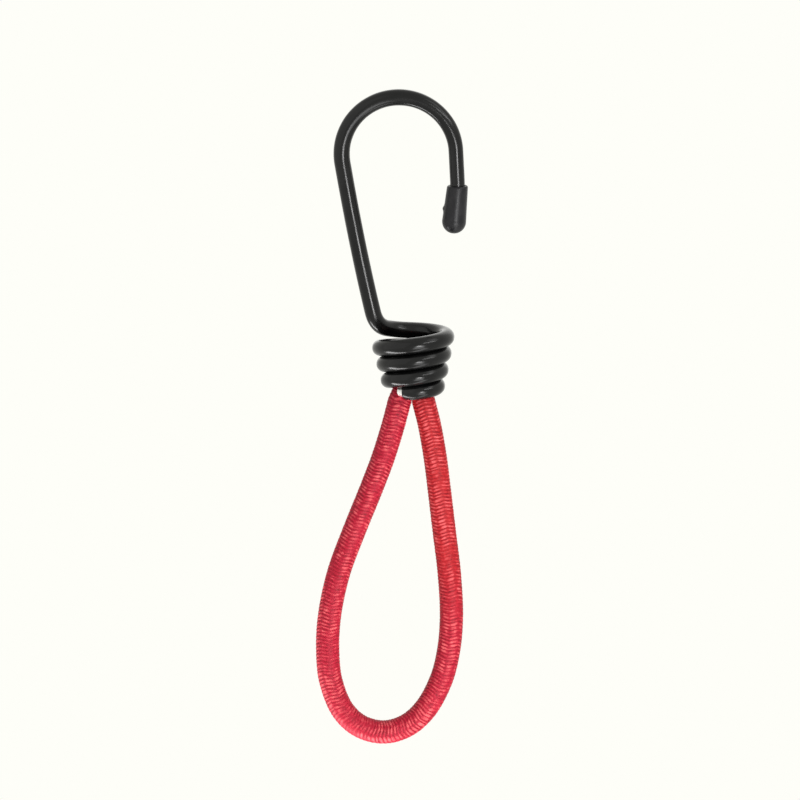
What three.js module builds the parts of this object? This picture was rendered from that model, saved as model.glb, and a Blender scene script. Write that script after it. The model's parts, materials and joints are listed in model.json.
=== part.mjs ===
// Short loop bungee: a plastic-coated wire hook whose foot is wound into a conical coil, which grips
// the two ends of a braided elastic cord. It hangs by the hook. Millimetres, +Z up, +Y to the back,
// origin at the hook's saddle, the highest point inside the bow, where it rests on what it hangs from.
import * as THREE from "three";

// Wire: a steel core in a plastic jacket
const wireDiameter = 3.4;
const jacketWall = 0.45;
const coreClearance = 0.1;
const bareEndLength = 1.3;

// Hook: bow, nose and tip, as centre-line sizes
const bowRadius = 13.05;
const noseLength = 6.85;
const noseFlareAngle = THREE.MathUtils.degToRad(2.8);
const tipBendRadius = 16;
const tipLeanAngle = THREE.MathUtils.degToRad(5.5);
const tipLength = 7.3;
const shankSagAngle = THREE.MathUtils.degToRad(1.8);
const elbowRun = 3.4;

// Coil: a right-handed cone, its turns counted from the left side, widest at the top
const coilDrop = 51.75;
const coilOffset = 2.98;
const coilLeanAngle = THREE.MathUtils.degToRad(2.4);
const coilTopRadius = 8.2;
const coilEndRadius = 5.05;
const turnSpacing = 0.34;
const coilStartTurn = 0.125;
const coilEndTurn = 3.84;
const footRise = 2.1;
const footTurn = 0.25;

// The coil's last stretch is tucked in and up against the turn above it
const tuckTurn = 0.5;
const tuckIn = 1.5;
const tuckRise = 0.62;

// Soft cap on the tip
const capLength = 11.15;
const capMouthRadius = 2.4;
const capDomeRadius = 2.75;
const capRimRadius = 0.22;
const capClearance = 0.2;

// Cord: a braided sleeve round a ring of rubber strands and one in the middle
const cordDiameter = 5.3;
const sheathWall = 0.5;
const strandClearance = 0.17;
const outerStrandCount = 6;

// Crimped clip that binds the two cord ends inside the coil
const clipHeight = 4;
const clipStrip = 0.6;
const clipDepth = 4.4;
const clipSpan = 3;
const clipSeam = 0.4;

// Room between the soft cord and what it is pressed against
const gripClearance = 0.3;
const cordSpacing = 0.3;
const pressShare = 0.1;

// Facets
const jacketSides = 12;
const coreSides = 8;
const turnSteps = 24;
const sheathSides = 12;
const ringsPerSegment = 2;
const strandSides = 6;
const capSides = 28;
const capArcSteps = 4;
const clipBendSteps = 6;

// The cord's two ends inside the coil, in the coil's own frame: height, left centre, right centre, and how
// far both lie to the back
const cordEndRoute = [
  [-3.4, -1.75, 1.75, 0],
  [-4.6, -1.5, 1.5, 0],
  [-8.9, -1.5, 1.5, 0],
  [-11.4, -1.65, 1.6, 0.5],
  [-13.4, -2.05, 1.5, 0.8],
  [-14.9, -2.8, 1.6, 0.65],
  [-16.3, -3.5, 1.95, 0.3],
  [-17.8, -3.98, 2.27, 0],
];

// The cord's free loop, left leg, bottom and right leg, in the object's frame: x, z
const loopRoute = [
  [-1.17, -73.2],
  [-3.47, -80.72],
  [-6.23, -88.08],
  [-10.2, -97.9],
  [-13.84, -107.9],
  [-15.85, -117.53],
  [-16.27, -125.2],
  [-15.6, -132.25],
  [-12.85, -139.2],
  [-8.9, -142.9],
  [-3.6, -144.3],
  [1.6, -142.9],
  [5.9, -139.2],
  [9.68, -132.25],
  [11.43, -125.2],
  [12.03, -117.53],
  [11.55, -107.9],
  [10.36, -97.9],
  [9.2, -88.08],
  [8.27, -80.72],
  [6.93, -73.2],
];

// Derived sizes. Three strands in a row fill the sleeve's bore, with the clearance between and beside them
const wireRadius = wireDiameter / 2;
const boreRadius = wireRadius - jacketWall;
const coreRadius = boreRadius - coreClearance;
const coilPitch = wireDiameter + turnSpacing;
const coilTaper = (coilTopRadius - coilEndRadius) / coilEndTurn;
const cordRadius = cordDiameter / 2;
const sheathBoreRadius = cordRadius - sheathWall;
const strandRadius = (sheathBoreRadius - 2 * strandClearance) / 3;
const strandRing = 2 * strandRadius + strandClearance;
const clipHalfWidth = clipSpan / 2 + clipDepth / 2 + clipStrip;
const clipSeatTurn = (coilTopRadius - wireRadius - gripClearance - clipHalfWidth) / coilTaper;
const clipBottom = -coilPitch * clipSeatTurn;
const clipTop = clipBottom + clipHeight;
const clippedCordRadius = clipDepth / 2 - gripClearance / 2;

// Finishes
const jacketFinish = new THREE.MeshStandardMaterial({ color: 0x141516, roughness: 0.32, metalness: 0 });
const steelFinish = new THREE.MeshStandardMaterial({ color: 0xc9c8c4, roughness: 0.3, metalness: 1 });
const capFinish = new THREE.MeshStandardMaterial({ color: 0x1d1e20, roughness: 0.55, metalness: 0 });
const sheathFinish = new THREE.MeshStandardMaterial({ color: 0xc51d2c, roughness: 0.8, metalness: 0 });
const latexFinish = new THREE.MeshStandardMaterial({ color: 0xe9dfc4, roughness: 0.6, metalness: 0 });
const clipFinish = new THREE.MeshStandardMaterial({ color: 0xb7b9bb, roughness: 0.38, metalness: 1 });

// A circular arc in the plane of two unit vectors, from one angle to another
class ArcInSpace extends THREE.Curve {
  constructor(centre, right, up, radius, startAngle, endAngle) {
    super();
    Object.assign(this, { centre, right, up, radius, startAngle, endAngle });
  }

  getPoint(t, target = new THREE.Vector3()) {
    const angle = THREE.MathUtils.lerp(this.startAngle, this.endAngle, t);
    return target
      .copy(this.centre)
      .addScaledVector(this.right, this.radius * Math.cos(angle))
      .addScaledVector(this.up, this.radius * Math.sin(angle));
  }
}

// The conical coil: it falls while it turns, and its foot rises a little to meet the elbow
class ConeCoil extends THREE.Curve {
  constructor(frame) {
    super();
    this.frame = frame;
  }

  getPoint(t, target = new THREE.Vector3()) {
    const turn = THREE.MathUtils.lerp(coilStartTurn, coilEndTurn, t);
    const angle = Math.PI - 2 * Math.PI * turn;
    const radius = coilRadiusAt(turn);
    return target
      .set(radius * Math.cos(angle), radius * Math.sin(angle), coilHeightAt(turn))
      .applyMatrix4(this.frame);
  }
}

// Curves joined end to end, each with its own number of steps, so that the rings stand close in the bends
class SpannedCurve extends THREE.Curve {
  constructor(spans) {
    super();
    this.spans = spans;
    this.steps = spans.reduce((sum, span) => sum + span.steps, 0);
  }

  locate(t) {
    let step = t * this.steps;
    const last = this.spans[this.spans.length - 1];
    for (const span of this.spans) {
      if (step <= span.steps || span === last) return [span.curve, Math.min(step / span.steps, 1)];
      step -= span.steps;
    }
  }

  getPoint(t, target) {
    const [curve, share] = this.locate(t);
    return curve.getPoint(share, target);
  }

  getTangent(t, target) {
    const [curve, share] = this.locate(t);
    return curve.getTangent(share, target);
  }

  getUtoTmapping(u) {
    return u;
  }
}

function coneRadiusAt(turn) {
  return coilTopRadius - coilTaper * turn;
}

// How much of the tuck is in force at a turn, from none to one at the coil's end
function tuckShare(turn) {
  return (Math.max(0, turn - coilEndTurn + tuckTurn) / tuckTurn) ** 2;
}

function coilRadiusAt(turn) {
  return coneRadiusAt(turn) - tuckIn * tuckShare(turn);
}

function coilHeightAt(turn) {
  const foot = Math.max(0, 1 - turn / footTurn) ** 2;
  return footRise * foot - coilPitch * turn + tuckRise * tuckShare(turn) ** 2;
}

// The coil's own frame: its axis runs down to the right, so its left side hangs lower
const coilFrame = new THREE.Matrix4()
  .makeRotationY(-coilLeanAngle)
  .setPosition(coilOffset, 0, -coilDrop);

// Wire from the tip over the bow and down the shank into the coil
function wirePath() {
  const coil = new ConeCoil(coilFrame);
  const foot = coil.getPoint(0);
  const footDirection = coil.getTangent(0);
  const corner = foot.clone().addScaledVector(footDirection, -elbowRun);

  // The hook's plane holds the saddle and the elbow's corner
  const hookLean = Math.atan2(corner.y, -corner.z);
  const right = new THREE.Vector3(1, 0, 0);
  const up = new THREE.Vector3(0, -Math.sin(hookLean), Math.cos(hookLean));
  const onPlane = (x, height) => right.clone().multiplyScalar(x).addScaledVector(up, height);

  // The shank sags a little away from the line that runs from the corner and just touches the bow's circle
  const bowHeight = wireRadius - bowRadius;
  const bowCentre = onPlane(0, bowHeight);
  const toCorner = corner.clone().sub(bowCentre);
  const cornerAngle = Math.atan2(toCorner.dot(up), toCorner.dot(right)) + 2 * Math.PI;
  const shankAngle = cornerAngle - Math.acos(bowRadius / toCorner.length()) - shankSagAngle;
  const bow = new ArcInSpace(bowCentre, right, up, bowRadius, noseFlareAngle, shankAngle);
  const shankTop = bow.getPoint(1);
  const shankBend = shankTop.clone().addScaledVector(bow.getTangent(1), shankTop.distanceTo(corner) / 2);
  const elbowTop = corner.clone().addScaledVector(shankBend.clone().sub(corner).normalize(), elbowRun);

  // The nose flares out a little, then the tip bends back in under the cap
  const noseDirection = onPlane(Math.sin(noseFlareAngle), -Math.cos(noseFlareAngle));
  const noseEnd = bow.getPoint(0).addScaledVector(noseDirection, noseLength);
  const bendRight = -tipBendRadius * Math.cos(noseFlareAngle);
  const bendUp = -tipBendRadius * Math.sin(noseFlareAngle);
  const bendCentre = noseEnd.clone().add(onPlane(bendRight, bendUp));
  const bend = new ArcInSpace(bendCentre, right, up, tipBendRadius, -tipLeanAngle, noseFlareAngle);
  const bendRun = tipBendRadius * Math.tan((noseFlareAngle + tipLeanAngle) / 2);
  const tipDirection = onPlane(-Math.sin(tipLeanAngle), -Math.cos(tipLeanAngle));
  const tipEnd = bend.getPoint(0).addScaledVector(tipDirection, tipLength);

  const bowSteps = Math.round((turnSteps * (shankAngle - noseFlareAngle)) / (2 * Math.PI)) + 4;
  const coilSteps = Math.round(turnSteps * (coilEndTurn - coilStartTurn));
  const spans = [
    { curve: new THREE.LineCurve3(tipEnd, bend.getPoint(0)), steps: 2 },
    { curve: bend, steps: 2 },
    { curve: new THREE.LineCurve3(noseEnd, bow.getPoint(0)), steps: 2 },
    { curve: bow, steps: bowSteps },
    { curve: new THREE.QuadraticBezierCurve3(shankTop, shankBend, elbowTop), steps: 4 },
    { curve: new THREE.QuadraticBezierCurve3(elbowTop, corner, foot), steps: 6 },
    { curve: coil, steps: coilSteps },
  ];
  const coilEnd = coil.getPoint(1);
  const bareEnd = coilEnd.clone().addScaledVector(coil.getTangent(1), bareEndLength);
  return {
    jacket: new SpannedCurve(spans),
    core: new SpannedCurve([...spans, { curve: new THREE.LineCurve3(coilEnd, bareEnd), steps: 1 }]),
    coil,
    capMouth: noseEnd.clone().addScaledVector(noseDirection, bendRun),
    tipEnd,
    tipDirection,
  };
}

function roundOutline(radius, sides) {
  return Array.from({ length: sides }, (_, k) => {
    const angle = (2 * Math.PI * k) / sides;
    return new THREE.Vector2(radius * Math.cos(angle), radius * Math.sin(angle));
  });
}

function extrudeAlong(path, outline, bore) {
  const section = new THREE.Shape(outline);
  if (bore) section.holes.push(new THREE.Path(bore));
  return new THREE.ExtrudeGeometry(section, { steps: path.steps, extrudePath: path, bevelEnabled: false });
}

// The least gap between turns: the closest that the centre-line comes to itself half a turn or more away
function leastCoilGap(coil) {
  const halfTurn = turnSteps;
  const points = coil.getPoints(Math.round(2 * halfTurn * (coilEndTurn - coilStartTurn)));
  let least = Infinity;
  points.forEach((point, i) => {
    const beyond = points.slice(i + halfTurn).map((other) => point.distanceTo(other));
    least = Math.min(least, ...beyond);
  });
  return least - wireDiameter;
}

// The cap is turned round its own axis, dome first. Its mouth stands where the tip bends.
function capTurning(wire) {
  const bore = wireRadius + capClearance;
  const boreEnd = capLength - wire.tipEnd.distanceTo(wire.capMouth) - capClearance;
  const rimCentre = capLength - capRimRadius;
  const outline = new THREE.Path();
  outline.absarc(0, capDomeRadius, capDomeRadius, -Math.PI / 2, 0, false);
  outline.lineTo(capMouthRadius, rimCentre);
  outline.absarc(capMouthRadius - capRimRadius, rimCentre, capRimRadius, 0, Math.PI / 2, false);
  outline.lineTo(bore, capLength);
  outline.lineTo(bore, boreEnd);
  outline.lineTo(0, boreEnd);
  return new THREE.LatheGeometry(outline.getPoints(capArcSteps), capSides);
}

// How far from the coil's axis the cord may reach at a place, in the coil's frame. Inside the coil that is
// a cone just clear of the turns. Beside and below the lowest turn on that side it follows the wire.
function coilRoom(x, y, height) {
  const pastEnd = (bareEndLength + gripClearance) / (2 * Math.PI * coilRadiusAt(coilEndTurn));
  const share = THREE.MathUtils.euclideanModulo(0.5 - Math.atan2(y, x) / (2 * Math.PI), 1);
  const lowestTurn = share + Math.floor(coilEndTurn + pastEnd - share);
  const wall = wireRadius + gripClearance;
  const below = coilHeightAt(lowestTurn) - height;
  const cone = below > 0 ? Infinity : coneRadiusAt(Math.max(0, -height / coilPitch)) - wall;
  if (Math.abs(below) >= wall) return cone;
  return Math.min(cone, coilRadiusAt(lowestTurn) - Math.sqrt(wall ** 2 - below ** 2));
}

// How far from the line between its two bends' centres the clip lets the cord reach. Its grip fades out
// a little way past both its faces.
function clipRoom(height) {
  const outside = Math.max(height - clipTop, clipBottom - height, 0);
  const lead = THREE.MathUtils.clamp((outside - clipStrip) / clipStrip, 0, 1);
  return THREE.MathUtils.lerp(clippedCordRadius, clipSpan + cordDiameter, lead);
}

function fitsInGrip(x, y, height) {
  const fromClipLine = Math.hypot(Math.max(Math.abs(x) - clipSpan / 2, 0), y);
  return fromClipLine <= clipRoom(height) && Math.hypot(x, y) <= coilRoom(x, y, height);
}

function endCentres(height) {
  const rows = cordEndRoute;
  const k = Math.max(1, rows.findIndex((row) => row[0] <= height));
  const share = THREE.MathUtils.clamp((height - rows[k - 1][0]) / (rows[k][0] - rows[k - 1][0]), 0, 1);
  return [1, 2].map((column) => THREE.MathUtils.lerp(rows[k - 1][column], rows[k][column], share));
}

// The cord's rings: its centre-line with, at each ring, how far the cord reaches in each direction round it
class CordPath {
  constructor() {
    const ends = cordEndRoute.map(([height, left, right, back]) => [
      new THREE.Vector3(left, back, height).applyMatrix4(coilFrame),
      new THREE.Vector3(right, back, height).applyMatrix4(coilFrame),
    ]);
    const points = [
      ...ends.map(([left]) => left),
      ...loopRoute.map(([x, z]) => new THREE.Vector3(x, 0, z)),
      ...ends.map(([, right]) => right).reverse(),
    ];
    this.curve = new THREE.CatmullRomCurve3(points, false, "centripetal");
    this.toCoil = coilFrame.clone().invert();
    this.rings = [];
    const segments = points.length - 1;
    const rings = segments * ringsPerSegment;
    for (let k = 0; k <= rings; k += 1) this.rings.push(this.ringAt(k / rings));
  }

  ringAt(t) {
    const centre = this.curve.getPoint(t);
    const along = this.curve.getTangent(t);
    const across = new THREE.Vector3(along.z, 0, -along.x).normalize();
    return { centre, across, local: centre.clone().applyMatrix4(this.toCoil) };
  }

  // The cord's reach in one direction: its own radius, cut back to the other cord, the clip and the coil
  reach(ring, angle) {
    const { local, across } = ring;
    if (local.z < cordEndRoute[cordEndRoute.length - 1][0]) return cordRadius;
    const sideways = across.x * Math.cos(angle);
    const upwards = across.z * Math.cos(angle);
    const [left, right] = endCentres(local.z);
    const towardsOther = local.x < (left + right) / 2 ? sideways : -sideways;
    let reach = cordRadius;
    if (towardsOther > 0) reach = Math.min(reach, (right - left - cordSpacing) / 2 / towardsOther);
    const backwards = Math.sin(angle);
    const fits = (d) => fitsInGrip(local.x + d * sideways, local.y + d * backwards, local.z + d * upwards);
    const step = pressShare * gripClearance;
    while (reach > step && !fits(reach)) reach -= step;
    return reach;
  }

  // A round outline inside the cord, its points moved in as far as the cord is pressed in their direction
  outlineRings(offsetX, offsetY, radius, sides) {
    return this.rings.map((ring) =>
      roundOutline(radius, sides).map((point) => {
        const x = offsetX + point.x;
        const y = offsetY + point.y;
        const pressed = this.reach(ring, Math.atan2(y, x)) / cordRadius;
        return ring.centre
          .clone()
          .addScaledVector(ring.across, x * pressed)
          .add(new THREE.Vector3(0, y * pressed, 0));
      }),
    );
  }
}

// A closed tube through rings of points, hollow if it is given inner rings with as many points
function tubeThrough(outer, inner) {
  const sides = outer[0].length;
  const last = outer.length - 1;
  const innerStart = outer.length * sides;
  const faces = [];
  const quad = (a, b, c, d) => faces.push(a, b, c, a, c, d);
  for (let side = 0; side < sides; side += 1) {
    const next = (side + 1) % sides;
    for (let ring = 0; ring < last; ring += 1) {
      const here = ring * sides;
      const beyond = here + sides;
      quad(here + side, here + next, beyond + next, beyond + side);
      if (!inner) continue;
      const [bore, boreBeyond] = [innerStart + here, innerStart + beyond];
      quad(bore + next, bore + side, boreBeyond + side, boreBeyond + next);
    }
    const end = last * sides;
    if (inner) {
      quad(side, innerStart + side, innerStart + next, next);
      quad(end + next, innerStart + end + next, innerStart + end + side, end + side);
    } else if (side > 1) {
      faces.push(0, side, side - 1, end, end + side - 1, end + side);
    }
  }
  const points = [...outer.flat(), ...(inner ? inner.flat() : [])];
  const geometry = new THREE.BufferGeometry().setFromPoints(points);
  geometry.setIndex(faces);
  geometry.computeVertexNormals();
  return geometry;
}

// The clip is a strip bent round both cord ends, with its seam at the front
function clipStripBent() {
  const inner = clipDepth / 2;
  const outer = inner + clipStrip;
  const half = clipSpan / 2;
  const seam = clipSeam / 2;
  const quarter = Math.PI / 2;
  const outline = new THREE.Shape();
  outline.moveTo(seam, -outer);
  outline.lineTo(half, -outer);
  outline.absarc(half, 0, outer, -quarter, quarter, false);
  outline.absarc(-half, 0, outer, quarter, 3 * quarter, false);
  outline.lineTo(-seam, -outer);
  outline.lineTo(-seam, -inner);
  outline.lineTo(-half, -inner);
  outline.absarc(-half, 0, inner, 3 * quarter, quarter, true);
  outline.absarc(half, 0, inner, quarter, -quarter, true);
  outline.lineTo(seam, -inner);
  outline.closePath();
  const strip = { depth: clipHeight, curveSegments: clipBendSteps, bevelEnabled: false };
  return new THREE.ExtrudeGeometry(outline, strip);
}

function named(name, geometry, finish) {
  const mesh = new THREE.Mesh(geometry, finish);
  mesh.name = name;
  return mesh;
}

function wireHook() {
  const wire = wirePath();
  console.log(`coil: least gap between turns ${leastCoilGap(wire.coil).toFixed(2)} mm`);
  const bore = roundOutline(boreRadius, coreSides);
  const skin = extrudeAlong(wire.jacket, roundOutline(wireRadius, jacketSides), bore);
  const steel = extrudeAlong(wire.core, roundOutline(coreRadius, coreSides));
  const cap = named("tip_cap", capTurning(wire), capFinish);
  cap.quaternion.setFromUnitVectors(new THREE.Vector3(0, -1, 0), wire.tipDirection);
  cap.position.copy(wire.capMouth).addScaledVector(wire.tipDirection, capLength);
  return new THREE.Group().add(
    named("pvc_jacket", skin, jacketFinish),
    named("steel_wire", steel, steelFinish),
    cap,
  );
}

function cordGrip() {
  const clip = named("cord_clip", clipStripBent(), clipFinish);
  clip.position.z = clipBottom;
  const grip = new THREE.Group().add(clip);
  grip.applyMatrix4(coilFrame);
  return grip;
}

function elasticCord() {
  const path = new CordPath();
  console.log(`cord: ${path.curve.getLength().toFixed(0)} mm from cut end to cut end`);
  const skin = path.outlineRings(0, 0, cordRadius, sheathSides);
  const bore = path.outlineRings(0, 0, sheathBoreRadius, sheathSides);
  const cord = new THREE.Group().add(named("braided_sheath", tubeThrough(skin, bore), sheathFinish));
  for (let k = 0; k <= outerStrandCount; k += 1) {
    const angle = (2 * Math.PI * k) / outerStrandCount;
    const ring = k < outerStrandCount ? strandRing : 0;
    const [x, y] = [ring * Math.cos(angle), ring * Math.sin(angle)];
    const strand = tubeThrough(path.outlineRings(x, y, strandRadius, strandSides));
    cord.add(named(`latex_strand_${k + 1}`, strand, latexFinish));
  }
  return cord;
}

export default new THREE.Group().add(wireHook(), cordGrip(), elasticCord());
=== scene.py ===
"""Short loop bungee: a coated wire hook, wound into a cone round both ends of a braided elastic cord.

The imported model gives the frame. Lengths are in metres, +Z up, +Y to the back, origin at the hook's saddle.
Each sub-assembly is a class that holds its sizes, builds its meshes and dresses them.
"""

import json
import logging
import math
from collections.abc import Mapping, Sequence
from dataclasses import asdict, dataclass
from enum import Enum
from functools import cached_property
from typing import Any

import bpy
import numpy as np
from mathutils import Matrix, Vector


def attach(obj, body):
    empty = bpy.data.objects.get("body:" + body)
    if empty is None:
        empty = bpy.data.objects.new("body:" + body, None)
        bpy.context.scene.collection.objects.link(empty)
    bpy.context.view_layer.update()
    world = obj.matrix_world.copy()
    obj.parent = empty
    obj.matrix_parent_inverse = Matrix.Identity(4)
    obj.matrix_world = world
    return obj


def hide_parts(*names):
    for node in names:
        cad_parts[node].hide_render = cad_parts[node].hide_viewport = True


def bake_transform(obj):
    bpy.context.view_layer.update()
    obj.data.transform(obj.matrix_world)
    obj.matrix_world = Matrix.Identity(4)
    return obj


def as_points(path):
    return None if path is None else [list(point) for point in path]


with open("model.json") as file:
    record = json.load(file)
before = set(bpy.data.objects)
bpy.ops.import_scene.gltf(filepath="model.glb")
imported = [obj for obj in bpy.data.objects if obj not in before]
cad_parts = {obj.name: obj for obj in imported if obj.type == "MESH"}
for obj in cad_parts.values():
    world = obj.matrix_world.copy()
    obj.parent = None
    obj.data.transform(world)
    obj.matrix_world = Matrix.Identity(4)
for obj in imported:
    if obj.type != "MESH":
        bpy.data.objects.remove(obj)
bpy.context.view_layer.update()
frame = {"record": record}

log = logging.getLogger("loop_bungee")
FULL_TURN = 2 * math.pi
TINY = 1e-9
BOTH_ENDS = [0, -1]
OUT_OF_ENDS = np.array([-1, 1])[:, None, None]
Array = np.ndarray
Thing = bpy.types.Object
Material = bpy.types.Material
Colour = tuple[float, ...]
Pair = tuple[float, float]
Faces = list[tuple[int, ...]]


class Body(Enum):
    """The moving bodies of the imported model."""

    HOOK = "hook"
    GRIP = "cord_grip"
    LOOP = "cord_loop"


class Signal:
    """A node's output in an expression: each operator adds a Math node to the same tree."""

    def __init__(self, nodes: "Nodes", socket: bpy.types.NodeSocket) -> None:
        """Wraps a socket of the tree that nodes builds."""
        self.nodes, self.socket = nodes, socket

    def math(self, operation: str, *others: Any) -> "Signal":
        """Adds a Math node with this signal as its first value."""
        values = dict(zip(("Value", "Value_001"), (self, *others)))
        return self.nodes.add("ShaderNodeMath", values, operation=operation)

    def also(self, output: str) -> "Signal":
        """Another output of the same node."""
        return Signal(self.nodes, self.nodes.find(self.socket.node.outputs, output))

    def __add__(self, other: Any) -> "Signal":
        """self + other, and other + self."""
        return self.math("ADD", other)

    def __sub__(self, other: Any) -> "Signal":
        """self - other."""
        return self.math("SUBTRACT", other)

    def __rsub__(self, other: float) -> "Signal":
        """other - self."""
        return self.math("MULTIPLY", -1.0).math("ADD", other)

    def __mul__(self, other: Any) -> "Signal":
        """self * other, and other * self."""
        return self.math("MULTIPLY", other)

    def __truediv__(self, other: Any) -> "Signal":
        """self / other."""
        return self.math("DIVIDE", other)

    def __pow__(self, other: Any) -> "Signal":
        """self ** other."""
        return self.math("POWER", other)

    __radd__, __rmul__ = __add__, __mul__


class Nodes:
    """Fills one node tree, always through the same method."""

    def __init__(self, tree: bpy.types.NodeTree) -> None:
        """Empties the tree and takes it over."""
        self.tree = tree
        tree.nodes.clear()

    @staticmethod
    def find(sockets: Any, key: str) -> bpy.types.NodeSocket:
        """The socket with this identifier, or else with this name."""
        by_identifier = [socket for socket in sockets if socket.identifier == key]
        return (by_identifier or [socket for socket in sockets if socket.name == key])[0]

    def add(
        self, kind: str, inputs: Mapping[str, Any] | None = None, output: str | None = None, **settings: Any
    ) -> Signal:
        """Adds a node, sets its settings first and then its sockets.

        Args:
            kind: the node's type.
            inputs: values or signals by socket identifier or name.
            output: the output wanted, or None for the first.
            settings: the node's own properties.

        Returns:
            The output as a signal, or for a node without outputs its first input.
        """
        node = self.tree.nodes.new(kind)
        for name, value in settings.items():
            setattr(node, name, value)
        for key, value in (inputs or {}).items():
            socket = self.find(node.inputs, key)
            if isinstance(value, Signal):
                self.tree.links.new(value.socket, socket)
            else:
                socket.default_value = value
        if not node.outputs:
            return Signal(self, node.inputs[0])
        return Signal(self, self.find(node.outputs, output) if output else node.outputs[0])

    def mix(self, factor: Any, low: Any, high: Any) -> Signal:
        """Mixes two colours by a factor from 0 to 1."""
        colours = {"Factor_Float": factor, "A_Color": low, "B_Color": high}
        return self.add("ShaderNodeMix", colours, "Result_Color", data_type="RGBA")

    def mix_shaders(self, factor: Signal, low: Signal, high: Signal) -> Signal:
        """Mixes two shaders by a factor from 0 to 1."""
        return self.add("ShaderNodeMixShader", {"Fac": factor, "Shader": low, "Shader_001": high})

    def ease(self, value: Signal, low: float, high: float, start: float = 0.0, end: float = 1.0) -> Signal:
        """Maps a value smoothly from low and high to start and end."""
        limits = {"Value": value, "From Min": low, "From Max": high, "To Min": start, "To Max": end}
        return self.add("ShaderNodeMapRange", limits, interpolation_type="SMOOTHSTEP")

    def vector(self, operation: str, one: Any, other: Any) -> Signal:
        """Joins two vectors, or for SCALE a vector and a factor."""
        values = {"Vector": one, "Scale" if operation == "SCALE" else "Vector_001": other}
        return self.add("ShaderNodeVectorMath", values, operation=operation)

    def noise(self, place: Signal, scale: Any, detail: float, seed: Any) -> Signal:
        """Noise at a place, shifted by a seed."""
        values = {"Vector": place, "W": seed, "Scale": scale, "Detail": detail}
        return self.add("ShaderNodeTexNoise", values, noise_dimensions="4D")


class Recipe(Nodes):
    """A Geometry Nodes tree with named inputs, which ends in plain geometry with its finish on it."""

    def __init__(self, name: str, numbers: Sequence[str], others: Mapping[str, str] | None = None) -> None:
        """Makes the tree and its inputs.

        Args:
            name: the tree's name.
            numbers: the names of its plain number inputs.
            others: the socket type of each other named input, besides the geometry and the finish.
        """
        super().__init__(bpy.data.node_groups.new(name, "GeometryNodeTree"))
        interface = self.tree.interface
        interface.new_socket("Geometry", in_out="INPUT", socket_type="NodeSocketGeometry")
        named = dict.fromkeys(numbers, "NodeSocketFloat") | dict(others or {})
        named["Finish"] = "NodeSocketMaterial"
        self.identifiers = {
            label: interface.new_socket(label, in_out="INPUT", socket_type=kind).identifier
            for label, kind in named.items()
        }
        interface.new_socket("Geometry", in_out="OUTPUT", socket_type="NodeSocketGeometry")
        self.source = self.add("NodeGroupInput")

    def given(self, label: str) -> Signal:
        """A named input of the tree."""
        return self.source.also(label)

    def attribute(self, name: str, data_type: str = "FLOAT") -> Signal:
        """A named attribute of the geometry."""
        return self.add("GeometryNodeInputNamedAttribute", {"Name": name}, data_type=data_type)

    def raised(self, geometry: Signal, height: Signal) -> Signal:
        """The geometry with its points moved out along their normals."""
        push = self.vector("SCALE", self.add("GeometryNodeInputNormal"), height)
        return self.add("GeometryNodeSetPosition", {"Geometry": geometry, "Offset": push})

    def end(self, geometry: Signal) -> None:
        """Realizes the geometry, puts the finish on it and hands it out.

        Args:
            geometry: the finished geometry.
        """
        smooth = self.add("GeometryNodeSetShadeSmooth", {"Geometry": geometry})
        real = self.add("GeometryNodeRealizeInstances", {"Geometry": smooth})
        dressed = {"Geometry": real, "Material": self.given("Finish")}
        self.add("NodeGroupOutput", {"Geometry": self.add("GeometryNodeSetMaterial", dressed)})

    def apply(self, piece: Thing, finish: Material, values: Mapping[str, Any]) -> None:
        """Puts the tree on a piece as a modifier.

        Args:
            piece: the mesh that the tree starts from.
            finish: the material of the result.
            values: a value for each named input.
        """
        modifier = piece.modifiers.new(self.tree.name, "NODES")
        modifier.node_group = self.tree
        for label, value in {**values, "Finish": finish}.items():
            modifier[self.identifiers[label]] = value


def settle(piece: Thing) -> Thing:
    """Turns a piece and all its modifiers into a plain mesh.

    Args:
        piece: the object, which keeps its name.

    Returns:
        The same object.
    """
    depsgraph = bpy.context.evaluated_depsgraph_get()
    mesh = bpy.data.meshes.new_from_object(piece.evaluated_get(depsgraph))
    mesh.name = piece.name
    piece.modifiers.clear()
    piece.data = mesh
    return piece


def place_object(name: str, data: bpy.types.ID) -> Thing:
    """Links a new object with this data to the scene.

    Args:
        name: the object's name.
        data: its mesh, lamp or camera.

    Returns:
        The object.
    """
    thing = bpy.data.objects.new(name, data)
    bpy.context.scene.collection.objects.link(thing)
    return thing


def new_piece(
    name: str, points: Array, faces: Sequence[Sequence[int]], finish: Material | None = None
) -> Thing:
    """Makes a smooth-shaded mesh object at the origin.

    Args:
        name: the piece's name.
        points: its vertices, one to a row.
        faces: vertex indices of each face, or of each edge where they are pairs.
        finish: its material, unless a recipe sets it.

    Returns:
        The object, linked to the scene.
    """
    mesh = bpy.data.meshes.new(name)
    rows = [tuple(int(index) for index in face) for face in faces]
    edges = [row for row in rows if len(row) == 2]
    mesh.from_pydata(np.asarray(points).tolist(), edges, [row for row in rows if len(row) > 2])
    mesh.polygons.foreach_set("use_smooth", [True] * len(mesh.polygons))
    if finish:
        mesh.materials.append(finish)
    mesh.update()
    return place_object(name, mesh)


def set_attribute(piece: Thing, name: str, values: Array) -> None:
    """Stores one value or vector for each vertex of a piece.

    Args:
        piece: the piece.
        name: the attribute's name.
        values: numbers in one row, or vectors in rows of their own, in the vertices' order.
    """
    kind, part = ("FLOAT_VECTOR", "vector") if np.ndim(values) > 1 else ("FLOAT", "value")
    attribute = piece.data.attributes.new(name, kind, "POINT")
    attribute.data.foreach_set(part, np.asarray(values, dtype=np.float32).ravel())


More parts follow.
